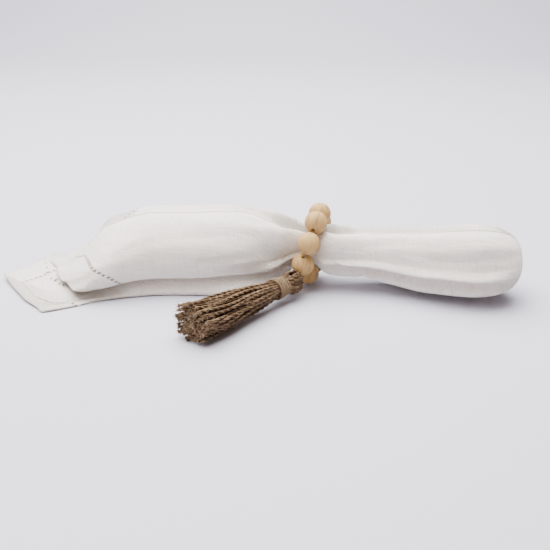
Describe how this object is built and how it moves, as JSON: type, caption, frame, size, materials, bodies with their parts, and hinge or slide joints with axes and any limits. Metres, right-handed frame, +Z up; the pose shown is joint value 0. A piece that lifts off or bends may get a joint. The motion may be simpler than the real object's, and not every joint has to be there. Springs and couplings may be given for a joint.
{
  "type": "napkin in a ring",
  "caption": "Square napkin pinched at its middle and drawn through a ring of wooden beads with a jute tassel.",
  "frame": {"origin": "middle of the bounding box's underside, on the surface the napkin lies on", "axes": "+Z up, +X along the napkin towards its rounded middle, -Y towards the side that the tassel lies on"},
  "size_m": [0.3454, 0.1494, 0.0551],
  "materials": {
    "linen": "matt off-white plain weave",
    "pale_wood": "sanded, unvarnished",
    "white_elastic": "matt",
    "jute": "rough two-ply twine",
    "jute_binding": "rough wound twine"
  },
  "bodies": {
    "root": {"napkin": "linen", "bead_1": "pale_wood", "bead_2": "pale_wood", "bead_3": "pale_wood", "bead_4": "pale_wood", "bead_5": "pale_wood", "bead_6": "pale_wood", "bead_7": "pale_wood", "bead_8": "pale_wood", "elastic": "white_elastic", "tassel_hanger": "jute", "tassel": "jute", "tassel_binding": "jute_binding"}
  },
  "joints": []
}
